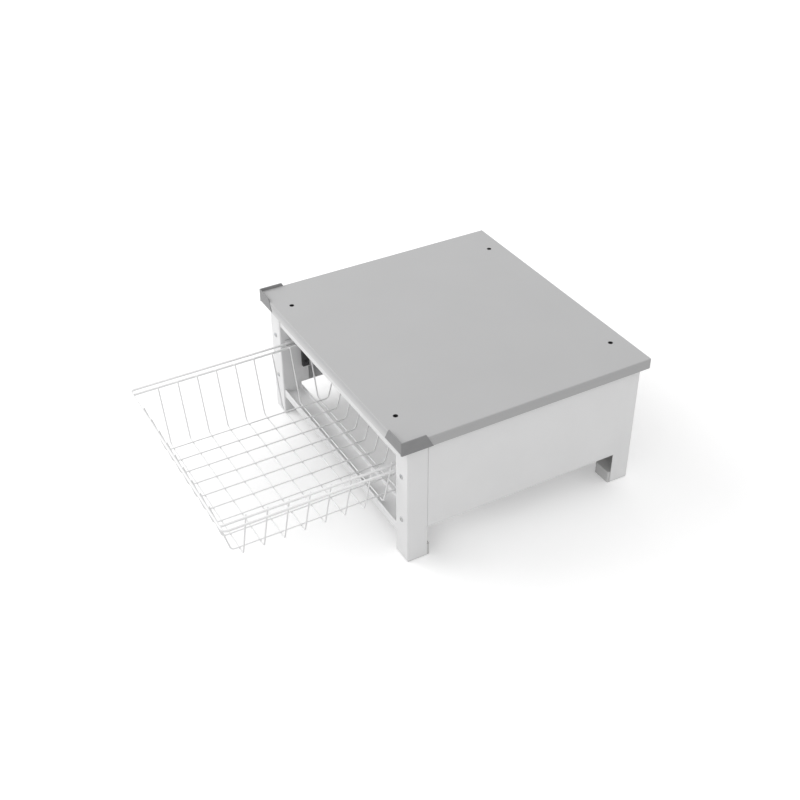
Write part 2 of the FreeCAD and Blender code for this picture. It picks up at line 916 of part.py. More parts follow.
def build():
    shapes["top_plate"] = top_plate()
    shapes["plate_hole_bushings"] = Part.makeCompound(plate_hole_bushings())
    for end, end_name in ((-1, "front"), (1, "rear")):
        shapes[end_name + "_top_rail"] = top_rail(end)
        shapes[end_name + "_bottom_rail"] = bottom_rail(end)
        for side, side_name in ((-1, "left"), (1, "right")):
            shapes[end_name + "_" + side_name + "_leg"] = leg(side, end)
            shapes[end_name + "_" + side_name + "_foot_cap"] = foot_cap(side, end)
    for side, side_name in ((-1, "left"), (1, "right")):
        shapes[side_name + "_side_panel"] = side_panel(side)
        shapes[side_name + "_plate_stiffener"] = stiffener(side)
        shapes[side_name + "_corner_stop"] = corner_stop(side)
        shapes[side_name + "_runner"] = runner(side)
        shapes[side_name + "_guide_bracket"] = guide_bracket(side)
        shapes["basket_" + side_name + "_rail_wire"] = rail_wire(side)
    bolts, bolt_nuts = leg_bolts()
    screws, screw_nuts = frame_screws()
    studs, stud_nuts = plate_studs()
    shapes["leg_bolts"] = Part.makeCompound(bolts)
    shapes["leg_bolt_nuts"] = Part.makeCompound(bolt_nuts)
    shapes["frame_screws"] = Part.makeCompound(screws)
    shapes["frame_screw_nuts"] = Part.makeCompound(screw_nuts)
    shapes["plate_studs"] = Part.makeCompound(studs)
    shapes["plate_stud_nuts"] = Part.makeCompound(stud_nuts)
    shapes["guide_bracket_screws"] = Part.makeCompound(guide_screws())
    shapes["basket_rim_frame"] = rim_frame()
    for index in range(wires_each_way):
        number = str(index + 1)
        shapes["basket_cross_wire_" + number] = cross_wire(index)
        shapes["basket_long_wire_" + number] = long_wire(index)


def export():
    os.makedirs("parts", exist_ok=True)
    for name, shape in shapes.items():
        moved = shape.copy()
        moved.translate(V(0, shift_y, 0))
        moved.exportStep("parts/" + name + ".step")
        state = "valid" if moved.isValid() else "NOT VALID"
        print(name, len(moved.Solids), "solids,", round(moved.Volume), "cubic mm,", state)
    print("Shift along Y:", shift_y, "Travel to the closed place:", travel_in)


build()
export()
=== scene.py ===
import math
import random

import bmesh
import bpy
from mathutils import Matrix, Vector


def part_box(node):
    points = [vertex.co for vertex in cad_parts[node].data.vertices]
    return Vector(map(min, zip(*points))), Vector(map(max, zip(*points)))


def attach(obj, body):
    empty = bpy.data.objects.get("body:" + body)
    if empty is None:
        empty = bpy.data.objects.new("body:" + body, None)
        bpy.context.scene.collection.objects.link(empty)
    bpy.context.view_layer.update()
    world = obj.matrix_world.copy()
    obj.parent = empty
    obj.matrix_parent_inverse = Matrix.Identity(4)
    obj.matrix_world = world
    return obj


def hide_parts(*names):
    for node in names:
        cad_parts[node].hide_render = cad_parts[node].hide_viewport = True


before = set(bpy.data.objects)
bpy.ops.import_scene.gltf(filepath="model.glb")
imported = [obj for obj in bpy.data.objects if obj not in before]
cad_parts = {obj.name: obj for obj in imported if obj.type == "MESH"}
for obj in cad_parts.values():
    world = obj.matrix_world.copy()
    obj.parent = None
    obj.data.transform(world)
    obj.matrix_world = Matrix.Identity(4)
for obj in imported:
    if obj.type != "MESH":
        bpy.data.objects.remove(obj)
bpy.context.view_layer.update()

bl_info = {
    "name": "Washing machine pedestal",
    "version": (1, 0, 0),
    "blender": (4, 5, 0),
    "location": "View3D > Sidebar > Pedestal",
    "description": "Coats, fasteners, welds and studio of a steel pedestal with a wire basket",
    "category": "Object",
}

# All lengths are in metres, in the frame of the packed model.
MM = 0.001
MERGE_DISTANCE = 1e-6
CHORD_ANGLE = math.radians(32)
WIRES_EACH_WAY = 9

# Sheet sizes that the spot welds are placed by
STIFFENER_SHEET = 1.5 * MM
STIFFENER_FLANGE = 16 * MM

# How many sides the turned meshes have
SHANK_SIDES = 28
SOCKET_HEAD_SIDES = 48
PAN_HEAD_SIDES = 72
NUT_SIDES = 48
BEAD_SIDES = 20
SPOT_SIDES = 28
THREAD_ROWS_PER_TURN = 7

# Starts of the random draws
BEAD_SEED = 11
BOLT_SEED = 23
SCREW_SEED = 37
NUT_SEED = 53

# Shapes of threads and heads, as shares of the pitch or of the head's size
THREAD_DEPTH_SHARE = 0.55
TIP_DEPTH_SHARE = 0.6
TIP_LENGTH_SHARE = 0.7
BUTTON_FLAT_SHARE = 0.62
RECESS_ARM_SHARE = 0.56
RECESS_WIDTH_SHARE = 0.14
RECESS_DEPTH_SHARE = 0.6
NUT_SEAT_SHARE = 0.95

# Lengths along a fastener: its shank in the head, before the thread, and its drawn out point
HEAD_OVERLAP = 0.5 * MM
STUD_PLAIN_LENGTH = 0.8 * MM
SCREW_PLAIN_LENGTH = 1 * MM
GUIDE_SCREW_TIP_RADIUS = 0.3 * MM
GUIDE_SCREW_TIP_LENGTH = 3.2 * MM

# Welds: a bead's lobes and bulge, and a spot's profile in shares of its radius and in mm
CROSS_LOBES = 4
BUTT_LOBES = 2
BEAD_BULGE = 0.14
BUTT_BEAD_SHARE = 1.25
BUTT_BEAD_HEIGHT = 1.5 * MM
SPOT_PROFILE = ((1.0, -0.3), (1.0, 0.0), (0.94, 0.09), (0.85, 0.13), (0.74, 0.06), (0.3, 0.03))

# Tints of the finishes, as shares of their colour
COAT_CLOUD_TINTS = (0.972, 1.012)
COAT_WAVE_TINT = 0.965
COAT_EDGE_TINT = 0.86
MOULD_FLOW_TINTS = (0.93, 1.05)
MOULD_PIT_TINT = 0.88
MOULD_EDGE_TINT = 1.22
ZINC_DULL_TINT = 0.72
ZINC_BLUE = (0.93, 0.98, 1.06)
ZINC_STRAW = (1.06, 1.01, 0.9)
FLOOR_MOTTLE_TINTS = ((0.985, 0.985, 0.985), (1.0, 1.0, 1.0))
WHITE_LIGHT = (1.0, 1.0, 1.0, 1.0)

# How strongly the coat darkens and the plastic lightens on edges, partly painted shade and
# highlight, and how painted light lightens the plate's front lip towards its lower edge
COAT_EDGE_THINNING_AND_SHADE = 0.6
MOULD_EDGE_HIGHLIGHT = 0.5
LIP_TOP_PAINTED_LIGHT = 0.4
LIP_PAINTED_LIGHT_POWER = 2.0
LIP_BEND = 1 * MM

# Sizes of the finishes' patterns and edges, and how strongly the finishes bend light
FINE_WAVE_SHARE = 0.27
FINE_CELL_SHARE = 0.35
MOULD_FLOW_SIZE = 22 * MM
ZINC_PATCH_SIZE = 3.2 * MM
ZINC_GRAIN_SIZE = 0.35 * MM
ZINC_GRAIN_HEIGHT = 0.012 * MM
COAT_EDGE_WIDTH = 0.7 * MM
MOULD_EDGE_WIDTH = 0.6 * MM
COAT_EDGE_ROUND = 0.35 * MM
MOULD_EDGE_ROUND = 0.3 * MM
COAT_IOR = 1.5
MOULD_IOR = 1.49
FLOOR_MOTTLE_SIZE = 0.4

# The camera's film and far end, and the height that the lamp is aimed at
FILM_WIDTH = 36.0
VIEW_END = 100.0
AIM_HEIGHT = 0.15

SHEET_NODES = [
    "front_top_rail", "rear_top_rail", "front_bottom_rail", "rear_bottom_rail",
    "left_plate_stiffener", "right_plate_stiffener", "left_side_panel", "right_side_panel",
    "left_runner", "right_runner", "front_left_leg", "front_right_leg",
    "rear_left_leg", "rear_right_leg",
]
STOP_NODES = ["left_corner_stop", "right_corner_stop"]
BRACKET_NODES = ["left_guide_bracket", "right_guide_bracket"]
FOOT_NODES = [
    "front_left_foot_cap", "front_right_foot_cap", "rear_left_foot_cap", "rear_right_foot_cap",
]
CROSS_WIRES = ["basket_cross_wire_%d" % (i + 1) for i in range(WIRES_EACH_WAY)]
LONG_WIRES = ["basket_long_wire_%d" % (i + 1) for i in range(WIRES_EACH_WAY)]
RAIL_WIRES = ["basket_left_rail_wire", "basket_right_rail_wire"]
RIM_NODE = "basket_rim_frame"
BUSHING_NODE = "plate_hole_bushings"


# Settings that a user may change


def length(name, description, default):
    """A size in metres, shown in the units of the scene."""
    return bpy.props.FloatProperty(
        name=name, description=description, default=default, min=0.0,
        precision=5, subtype="DISTANCE", unit="LENGTH",
    )


def colour(name, description, default):
    """A colour, as written on the shader."""
    return bpy.props.FloatVectorProperty(
        name=name, description=description, default=default, size=3,
        min=0.0, max=1.0, subtype="COLOR",
    )


def share(name, description, default):
    """A number between nothing and all."""
    return bpy.props.FloatProperty(
        name=name, description=description, default=default, min=0.0, max=1.0, subtype="FACTOR",
    )


def angle(name, description, degrees):
    """A turn, given in degrees."""
    return bpy.props.FloatProperty(
        name=name, description=description, default=math.radians(degrees),
        subtype="ANGLE", unit="ROTATION",
    )


def brightness(name, description, default):
    """A level of light, where 1 is white."""
    return bpy.props.FloatProperty(name=name, description=description, default=default, min=0.0)


class PedestalCoats(bpy.types.PropertyGroup):
    """Colours and textures of the coats, the plastics and the plating"""
    sheet_colour: colour(
        "Sheet coat", "Powder coat of the legs, rails and panels", (0.86, 0.86, 0.862),
    )
    sheet_roughness: share("Sheet roughness", "Roughness of the white powder coat", 0.42)
    peel_size: length("Peel size", "Width of one wave of the orange peel", 1.7 * MM)
    peel_height: length("Peel height", "Height of the orange peel", 0.03 * MM)
    plate_colour: colour("Plate coat", "Fine textured coat of the top plate", (0.47, 0.47, 0.473))
    plate_roughness: share("Plate roughness", "Roughness of the plate's coat", 0.6)
    grit_size: length("Grit size", "Width of one grain of the plate's coat", 0.7 * MM)
    grit_height: length("Grit height", "Height of the plate coat's grain", 0.06 * MM)
    # Painted light: how much the plate's front lip is lightened towards its lower edge, where
    # light falls
    lip_painted_light: share("Lip painted light", "How far the plate's coat thins out down its front lip", 0.56)
    wire_colour: colour("Wire coat", "Coat of the basket's wires", (0.91, 0.91, 0.912))
    wire_roughness: share("Wire roughness", "Roughness of the coat on the wires", 0.34)
    stop_colour: colour("Corner stops", "Grey plastic of the corner stops", (0.27, 0.27, 0.274))
    # The black colour also goes on the plate's hole bushings, as painted shade inside the holes
    black_colour: colour(
        "Black plastic", "Plastic of the guide brackets and bushings", (0.028, 0.028, 0.03),
    )
    foot_colour: colour("Foot caps", "Pale plastic of the foot caps", (0.66, 0.66, 0.655))
    leather_size: length("Mould grain", "Width of one cell of the moulded grain", 0.9 * MM)
    leather_height: length("Mould grain height", "Depth of the moulded grain", 0.05 * MM)
    zinc_colour: colour(
        "Zinc plating", "Plating of the bolts, screws and nuts", (0.54, 0.548, 0.56),
    )
    zinc_roughness: share("Zinc roughness", "Roughness of the zinc plating", 0.42)
    oxide_colour: colour(
        "Black oxide", "Finish of the guide brackets' screws", (0.06, 0.06, 0.063),
    )


class PedestalFasteners(bpy.types.PropertyGroup):
    """Sizes of the bolts, screws, studs and nuts"""
    bolt_diameter: length("Bolt", "Thread of the leg bolts and of the plate studs", 6 * MM)
    bolt_pitch: length("Bolt pitch", "Pitch of the leg bolts and of the plate studs", 1 * MM)
    bolt_head: length("Bolt head height", "Height of a leg bolt's head", 1.8 * MM)
    bolt_socket: length("Bolt socket", "Width of the hexagon socket across its flats", 4 * MM)
    bolt_socket_depth: length("Socket depth", "Depth of the hexagon socket", 1.2 * MM)
    bolt_thread: length("Bolt thread length", "Length of a leg bolt's thread", 18 * MM)
    bolt_nut_width: length("Bolt nut", "Width of the bolts' nuts across their flats", 10 * MM)
    screw_diameter: length("Screw", "Thread of the frame screws", 5 * MM)
    screw_pitch: length("Screw pitch", "Pitch of the frame screws", 0.8 * MM)
    screw_head: length("Screw head height", "Height of a frame screw's head", 3 * MM)
    screw_nut_width: length("Screw nut", "Width of the screws' nuts across their flats", 8 * MM)
    guide_screw_diameter: length("Guide screw", "Thread of the guide brackets' screws", 3.5 * MM)
    guide_screw_pitch: length("Guide screw pitch", "Pitch of the brackets' screws", 1.27 * MM)
    guide_screw_head: length("Guide screw head", "Height of a guide screw's head", 2.4 * MM)


class PedestalWelds(bpy.types.PropertyGroup):
    """Sizes of the welds of the basket and of the stiffeners"""
    bead_radius: length("Bead radius", "Radius of a weld where two thin wires cross", 1.9 * MM)
    bead_height: length("Bead height", "Half height of that weld", 1.15 * MM)
    rim_bead_radius: length(
        "Rim bead radius", "Radius of a weld between a thin wire and the rim", 2.2 * MM,
    )
    tip_height: length("Tip height", "How far the coat rounds off a wire's end", 0.9 * MM)
    spot_radius: length("Spot radius", "Radius of a spot weld's mark", 3.3 * MM)
    spot_pitch: length("Spot pitch", "Distance between two spot welds of a stiffener", 48 * MM)


class PedestalStage(bpy.types.PropertyGroup):
    """Floor, light and camera"""
    floor_size: length("Floor size", "Side of the square floor", 40.0)
    floor_colour: colour("Floor", "Colour of the floor as the pedestal sees it", (0.6, 0.6, 0.6))
    floor_glow: share("Floor glow", "Light that lifts the seen floor to white", 0.144)
    sky_level: brightness("Sky level", "Even light from all sides, where 1 is white", 0.87)
    key_level: brightness("Key light", "Light of the large lamp on a face turned to it", 0.36)
    key_azimuth: angle("Key azimuth", "Turn of the lamp round the pedestal, from its front", -45)
    key_elevation: angle("Key elevation", "Height of the lamp above the horizon", 35)
    key_size: length("Key size", "Side of the large square lamp", 3.2)
    key_distance: length("Key distance", "Distance of the lamp from the pedestal", 4.5)
    camera_place: bpy.props.FloatVectorProperty(
        name="Camera place", description="Where the camera stands", size=3,
        default=(1.70989, -0.905615, 1.56175), subtype="TRANSLATION", unit="LENGTH",
    )
    camera_azimuth: angle("Camera azimuth", "Turn of the camera round the pedestal", 60.78)
    camera_elevation: angle("Camera elevation", "Tilt of the camera above the horizon", 35.99)
    camera_roll: angle("Camera roll", "Turn of the camera about its own line of sight", -0.31)
    camera_lens: bpy.props.FloatProperty(
        name="Lens", description="Focal length on a 36 mm wide picture",
        default=53.64, min=1.0, subtype="DISTANCE_CAMERA",
    )


# Node trees


def fill(tree, socket, value):
    """Links another socket to the socket, or gives it a plain value."""
    if isinstance(value, bpy.types.NodeSocket):
        tree.links.new(value, socket)
    else:
        socket.default_value = value


def add_node(tree, kind, settings=None, **inputs):
    """Adds a node, sets its options and fills or links its inputs, with _ for a space."""
    node = tree.nodes.new(kind)
    for name, value in (settings or {}).items():
        setattr(node, name, value)
    for name, value in inputs.items():
        fill(tree, node.inputs[name.replace("_", " ")], value)
    return node


def arithmetic(tree, operation, *values):
    """The result of a Math node on numbers or sockets."""
    node = add_node(tree, "ShaderNodeMath", {"operation": operation})
    for socket, value in zip(node.inputs, values):
        fill(tree, socket, value)
    return node.outputs[0]


def empty_material(name):
    """A material with an empty node tree and its output."""
    material = bpy.data.materials.new(name)
    material.use_nodes = True
    material.node_tree.nodes.clear()
    output = add_node(material.node_tree, "ShaderNodeOutputMaterial")
    return material, material.node_tree, output


def noise(tree, coords, feature, detail=2.0, roughness=0.5):
    """A noise pattern whose features have about the given width."""
    node = add_node(
        tree, "ShaderNodeTexNoise", {"noise_dimensions": "3D"},
        Vector=coords, Scale=1 / feature, Detail=detail, Roughness=roughness,
    )
    return node.outputs["Fac"]


def mixed_colour(tree, factor, first, second):
    """A colour between two others, each a socket or a plain colour."""
    node = add_node(tree, "ShaderNodeMix", {"data_type": "RGBA"})
    tree.links.new(factor, node.inputs[0])
    for socket, value in ((node.inputs[6], first), (node.inputs[7], second)):
        fill(tree, socket, (*value, 1.0) if isinstance(value, tuple) else value)
    return node.outputs[2]


def scaled_range(tree, value, low, high, start=0.3, stop=0.7):
    """A pattern's middle range, spread between two other values."""
    node = add_node(
        tree, "ShaderNodeMapRange", {"clamp": True},
        Value=value, From_Min=start, From_Max=stop, To_Min=low, To_Max=high,
    )
    return node.outputs[0]


def edge_mask(tree, radius):
    """One on sharp edges and nothing on flat faces."""
    rounded = add_node(tree, "ShaderNodeBevel", {"samples": 4}, Radius=radius).outputs[0]
    true_normal = add_node(tree, "ShaderNodeNewGeometry").outputs["True Normal"]
    dot = add_node(tree, "ShaderNodeVectorMath", {"operation": "DOT_PRODUCT"})
    tree.links.new(rounded, dot.inputs[0])
    tree.links.new(true_normal, dot.inputs[1])
    return scaled_range(tree, dot.outputs["Value"], 1.0, 0.0, 0.75, 0.995)


def shade(colour_value, factor):
    """The colour made darker or lighter."""
    return tuple(min(1.0, channel * factor) for channel in colour_value)


def front_lip_painted_light_mask(tree, coords, top, bottom):
    """The mask of a painted highlight: one at the lower edge of the plate's front lip, less up the
    lip, and nothing elsewhere.
    """
    height = add_node(tree, "ShaderNodeSeparateXYZ", Vector=coords).outputs["Z"]
    normal = add_node(tree, "ShaderNodeNewGeometry").outputs["Normal"]
    facing = add_node(tree, "ShaderNodeSeparateXYZ", Vector=normal).outputs["Y"]
    fall = scaled_range(tree, height, 1.0, LIP_TOP_PAINTED_LIGHT, bottom, top)
    front = scaled_range(tree, facing, 1.0, 0.0, -0.9, -0.3)
    return arithmetic(tree, "MULTIPLY", arithmetic(tree, "POWER", fall, LIP_PAINTED_LIGHT_POWER), front)


def raised(tree, surface, height, edge_round):
    """The normal of a surface with relief, on edges that look softly rounded."""
    rounded = add_node(tree, "ShaderNodeBevel", {"samples": 4}, Radius=edge_round).outputs[0]
    bump = add_node(
        tree, "ShaderNodeBump", Height=surface, Distance=height, Strength=1.0, Normal=rounded,
    )
    return bump.outputs[0]


def surfaced(material, tree, output, **inputs):
    """The material, with a shader of the given inputs on its surface."""
    shader = add_node(tree, "ShaderNodeBsdfPrincipled", **inputs)
    tree.links.new(shader.outputs[0], output.inputs["Surface"])
    return material


def powder_coat(name, base, roughness, wave, height, fine_share, cloud_size, under=None):
    """A baked powder coat: waves and fine grain, film clouds, darker edges that are a thinner film
    on outer edges and painted shade in inside corners, and painted light on a front lip when
    asked.
    """
    material, tree, output = empty_material(name)
    coords = add_node(tree, "ShaderNodeTexCoord").outputs["Object"]
    cloud = noise(tree, coords, cloud_size, 3.0)
    waves = noise(tree, coords, wave, 1.5, 0.4)
    fine = noise(tree, coords, wave * FINE_WAVE_SHARE, 2.0, 0.55)
    edges = edge_mask(tree, COAT_EDGE_WIDTH)
    tints = [shade(base, tint) for tint in COAT_CLOUD_TINTS]
    film = mixed_colour(tree, scaled_range(tree, cloud, 0.0, 1.0), *tints)
    grain_tint = scaled_range(tree, waves, 0.0, 0.35)
    film = mixed_colour(tree, grain_tint, film, shade(base, COAT_WAVE_TINT))
    # Darker edges: a thinner film on outer edges, and painted shade in inside corners, which the
    # edge mask also finds
    edge_tone_share = arithmetic(tree, "MULTIPLY", edges, COAT_EDGE_THINNING_AND_SHADE)
    tone_with_painted_light = mixed_colour(tree, edge_tone_share, film, shade(base, COAT_EDGE_TINT))
    # Painted light: the plate's front-facing lip is made lighter towards its lower edge, where
    # light falls on it
    if under:
        lip_light_colour, amount, top, bottom = under
        lip_light_share = arithmetic(tree, "MULTIPLY", front_lip_painted_light_mask(tree, coords, top, bottom), amount)
        tone_with_painted_light = mixed_colour(tree, lip_light_share, tone_with_painted_light, lip_light_colour)
    gloss = arithmetic(
        tree, "ADD",
        scaled_range(tree, cloud, roughness - 0.045, roughness + 0.045),
        scaled_range(tree, fine, -0.03, 0.03),
    )
    surface = arithmetic(
        tree, "ADD",
        arithmetic(tree, "MULTIPLY", waves, 1.0 - fine_share),
        arithmetic(tree, "MULTIPLY", fine, fine_share),
    )
    return surfaced(
        material, tree, output, Base_Color=tone_with_painted_light, Roughness=gloss, IOR=COAT_IOR,
        Normal=raised(tree, surface, height, COAT_EDGE_ROUND),
    )


def moulded_plastic(name, base, roughness, cell, height):
    """Injection moulded plastic with an etched grain, glossier edges, and a painted highlight that
    lightens its edges and inside corners.
    """
    material, tree, output = empty_material(name)
    coords = add_node(tree, "ShaderNodeTexCoord").outputs["Object"]
    cells = add_node(
        tree, "ShaderNodeTexVoronoi", {"feature": "SMOOTH_F1"},
        Vector=coords, Scale=1 / cell, Smoothness=0.6,
    ).outputs["Distance"]
    fine = noise(tree, coords, cell * FINE_CELL_SHARE, 2.0, 0.6)
    flow = noise(tree, coords, MOULD_FLOW_SIZE, 3.0, 0.55)
    edges = edge_mask(tree, MOULD_EDGE_WIDTH)
    tints = [shade(base, tint) for tint in MOULD_FLOW_TINTS]
    tone = mixed_colour(tree, scaled_range(tree, flow, 0.0, 1.0), *tints)
    pit_share = scaled_range(tree, cells, 0.0, 0.3, 0.1, 0.8)
    pits = mixed_colour(tree, pit_share, tone, shade(base, MOULD_PIT_TINT))
    # Painted highlight: edges and inside corners are made lighter
    edge_tone_share = arithmetic(tree, "MULTIPLY", edges, MOULD_EDGE_HIGHLIGHT)
    with_painted_edge_highlight = mixed_colour(tree, edge_tone_share, pits, shade(base, MOULD_EDGE_TINT))
    gloss = arithmetic(
        tree, "ADD",
        scaled_range(tree, flow, roughness - 0.04, roughness + 0.05),
        scaled_range(tree, edges, 0.0, -0.09, 0.0, 1.0),
    )
    surface = arithmetic(tree, "ADD", cells, arithmetic(tree, "MULTIPLY", fine, 0.5))
    return surfaced(
        material, tree, output, Base_Color=with_painted_edge_highlight, Roughness=gloss, IOR=MOULD_IOR,
        Normal=raised(tree, surface, height, MOULD_EDGE_ROUND),
    )


def zinc_plating(name, base, roughness):
    """Zinc plating on bare metal: a faint blue and straw tint, dull spots and a fine grain."""
    material, tree, output = empty_material(name)
    coords = add_node(tree, "ShaderNodeTexCoord").outputs["Object"]
    patch = noise(tree, coords, ZINC_PATCH_SIZE, 2.0)
    fine = noise(tree, coords, ZINC_GRAIN_SIZE, 3.0, 0.65)
    blue = tuple(min(1.0, channel * tint) for channel, tint in zip(base, ZINC_BLUE))
    straw = tuple(min(1.0, channel * tint) for channel, tint in zip(base, ZINC_STRAW))
    tint = mixed_colour(tree, scaled_range(tree, patch, 0.0, 1.0), blue, straw)
    dull_share = scaled_range(tree, fine, 0.0, 0.4)
    dull = mixed_colour(tree, dull_share, tint, shade(base, ZINC_DULL_TINT))
    gloss = arithmetic(
        tree, "ADD",
        scaled_range(tree, patch, roughness - 0.06, roughness + 0.08),
        scaled_range(tree, fine, -0.04, 0.06),
    )
    bump = add_node(
        tree, "ShaderNodeBump", Height=fine, Distance=ZINC_GRAIN_HEIGHT, Strength=1.0,
    )
    return surfaced(
        material, tree, output,
        Base_Color=dull, Metallic=1.0, Roughness=gloss, Normal=bump.outputs[0],
    )


def made_once(name, maker, base, *values, **more):
    """The material of that name, made the first time that a piece asks for it."""
    return bpy.data.materials.get(name) or maker(name, tuple(base), *values, **more)


def white_coat(scene):
    """The coat with orange peel on the folded sheets."""
    coats = scene.pedestal_coats
    return made_once(
        "white_powder_coat", powder_coat, coats.sheet_colour, coats.sheet_roughness,
        coats.peel_size, coats.peel_height, fine_share=0.3, cloud_size=90 * MM,
    )


def plate_coat(scene):
    """The plate's grey coat, with painted light that lightens it towards the white coat's colour
    down its front lip.
    """
    coats = scene.pedestal_coats
    low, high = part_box("top_plate")
    under = (tuple(coats.sheet_colour), coats.lip_painted_light, high.z - LIP_BEND, low.z)
    return made_once(
        "grey_fine_texture_coat", powder_coat, coats.plate_colour, coats.plate_roughness,
        coats.grit_size, coats.grit_height, fine_share=0.5, cloud_size=130 * MM, under=under,
    )


def wire_coat(scene):
    """The coat of the basket's wires, with a smaller peel."""
    coats = scene.pedestal_coats
    return made_once(
        "white_wire_coat", powder_coat, coats.wire_colour, coats.wire_roughness,
        wave=coats.peel_size * 0.8, height=coats.peel_height * 0.7,
        fine_share=0.25, cloud_size=40 * MM,
    )


def grey_plastic(scene):
    """The plastic of the corner stops."""
    coats = scene.pedestal_coats
    return made_once(
        "grey_moulded_plastic", moulded_plastic, coats.stop_colour,
        roughness=0.5, cell=coats.leather_size, height=coats.leather_height,
    )


def black_plastic_and_hole_shade(scene):
    """The black plastic of the guide brackets, also used on the bushings as painted shade inside
    the plate's holes.
    """
    coats = scene.pedestal_coats
    return made_once(
        "black_moulded_plastic", moulded_plastic, coats.black_colour,
        roughness=0.42, cell=coats.leather_size * 0.8, height=coats.leather_height * 0.8,
    )


def foot_plastic(scene):
    """The plastic of the foot caps."""
    coats = scene.pedestal_coats
    return made_once(
        "pale_foot_plastic", moulded_plastic, coats.foot_colour,
        roughness=0.5, cell=coats.leather_size * 0.8, height=coats.leather_height * 0.6,
    )


def bright_zinc(scene):
    """The plating of the bolts, studs, frame screws and nuts."""
    coats = scene.pedestal_coats
    return made_once(
        "bright_zinc_plating", zinc_plating, coats.zinc_colour, coats.zinc_roughness,
    )


def black_oxide(scene):
    """The finish of the guide brackets' screws."""
    coats = scene.pedestal_coats
    return made_once(
        "black_oxide_steel", zinc_plating, coats.oxide_colour, coats.zinc_roughness,
    )


def dress(names, material):
    """Gives the CAD nodes their finished material."""
    for name in names:
        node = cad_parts.get(name)
        if node is None:
            raise RuntimeError("The packed model has no node named " + name)
        for material_slot in node.material_slots:
            material_slot.material = material


# Places read from the packed model


def solids(name):
    """The lowest and highest corner of each separate solid of a CAD node."""
    bm = bmesh.new()
    bm.from_mesh(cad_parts[name].data)
    bmesh.ops.remove_doubles(bm, verts=bm.verts, dist=MERGE_DISTANCE)
    waiting = set(bm.verts)
    found = []
    while waiting:
        stack = [waiting.pop()]
        corners = []
        while stack:
            vert = stack.pop()
            corners.append(vert.co.copy())
            for edge in vert.link_edges:
                other = edge.other_vert(vert)
                if other in waiting:
                    waiting.remove(other)
                    stack.append(other)
        low = Vector([min(corner[i] for corner in corners) for i in range(3)])
        high = Vector([max(corner[i] for corner in corners) for i in range(3)])
        found.append((low, high))
    bm.free()
    if not found:
        raise RuntimeError("The node " + name + " has no solids")
    return sorted(found, key=lambda pair: [round(value, 4) for value in pair[0]])


def upper_ends(name, axis):
    """The middle and the outward direction of a wire's two upper ends along an axis."""
    end_reach = 5 * MM
    steepest = 0.7
    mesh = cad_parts[name].data
    low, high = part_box(name)
    middle = (low + high) / 2
    ends = []
    for side in (-1, 1):
        centre = Vector()
        normal = Vector()
        area = 0.0
        for face in mesh.polygons:
            on_side = (face.center[axis] - middle[axis]) * side > 0
            if on_side and face.normal.z > steepest and face.center.z > high.z - end_reach:
                centre += face.center * face.area
                normal += face.normal * face.area
                area += face.area
        if area == 0.0:
            raise RuntimeError("The wire " + name + " has no flat upper end")
        ends.append((centre / area, normal.normalized()))
    return ends


def middle_of(name):
    """The middle of a CAD node's box."""
    low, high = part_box(name)
    return (low + high) / 2


def direction_at(azimuth, elevation):
    """The direction at a turn from the front, to the right, and a height above the horizon."""
    return Vector((
        math.sin(azimuth) * math.cos(elevation), -math.cos(azimuth) * math.cos(elevation),
        math.sin(elevation),
    ))


def frame_along(origin, direction, twist=0.0):
    """A place whose own Z points along the direction."""
    turn = direction.to_track_quat("Z", "Y").to_matrix().to_4x4()
    return Matrix.Translation(origin) @ turn @ Matrix.Rotation(twist, 4, "Z")


# Meshes


def turned_skin(bm, place, rows, count, ring=False):
    """Joins rows of points round an axis. Each row gives radius and height for an angle."""
    rings = []
    for row in rows:
        points = []
        for k in range(count):
            turn = 2 * math.pi * k / count
            radius, height = row(turn)
            spot = Vector((radius * math.cos(turn), radius * math.sin(turn), height))
            points.append(bm.verts.new(place @ spot))
        rings.append(points)
    pairs = list(zip(rings, rings[1:]))
    if ring:
        pairs.append((rings[-1], rings[0]))
    else:
        bm.faces.new(rings[0])
        bm.faces.new(rings[-1])
    for first, second in pairs:
        for k in range(count):
            bm.faces.new((first[k - 1], first[k], second[k], second[k - 1]))


def circle(radius, height):
    """A row with the same radius and height all round."""
    return lambda turn: (radius, height)


def hexagon_radius(width, turn):
    """How far a hexagon's side is from its middle at an angle."""
    step = math.pi / 3
    return width / 2 / math.cos((turn + step / 2) % step - step / 2)


def hexagon_row(width, height, growth=0.0):
    """A row that follows a hexagon's sides, moved outward by its growth."""
    return lambda turn: (hexagon_radius(width, turn) + growth, height)


def finished_object(name, bm, material, body):
    """Makes the mesh a piece with its material, riding on its body."""
    bmesh.ops.recalc_face_normals(bm, faces=bm.faces)
    mesh = bpy.data.meshes.new(name)
    bm.to_mesh(mesh)
    bm.free()
    mesh.shade_smooth()
    mesh.set_sharp_from_angle(angle=CHORD_ANGLE)
    mesh.materials.append(material)
    piece = bpy.data.objects.new(name, mesh)
    bpy.context.scene.collection.objects.link(piece)
    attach(piece, body)
    return piece


def thread_row(radius, height, start, end, pitch, tip_radius, tip_length):
    """One row of a thread, which fades in at its start and narrows at its tip."""
    depth = THREAD_DEPTH_SHARE * pitch * min(1.0, max(0.0, (height - start) / pitch))
    limit = tip_radius + (end - height) * (radius - tip_radius) / tip_length

    def row(turn):
        phase = (height / pitch - turn / (2 * math.pi)) % 1.0
        cut = depth * abs(2 * phase - 1)
        return min(radius - cut, limit), height

    return row


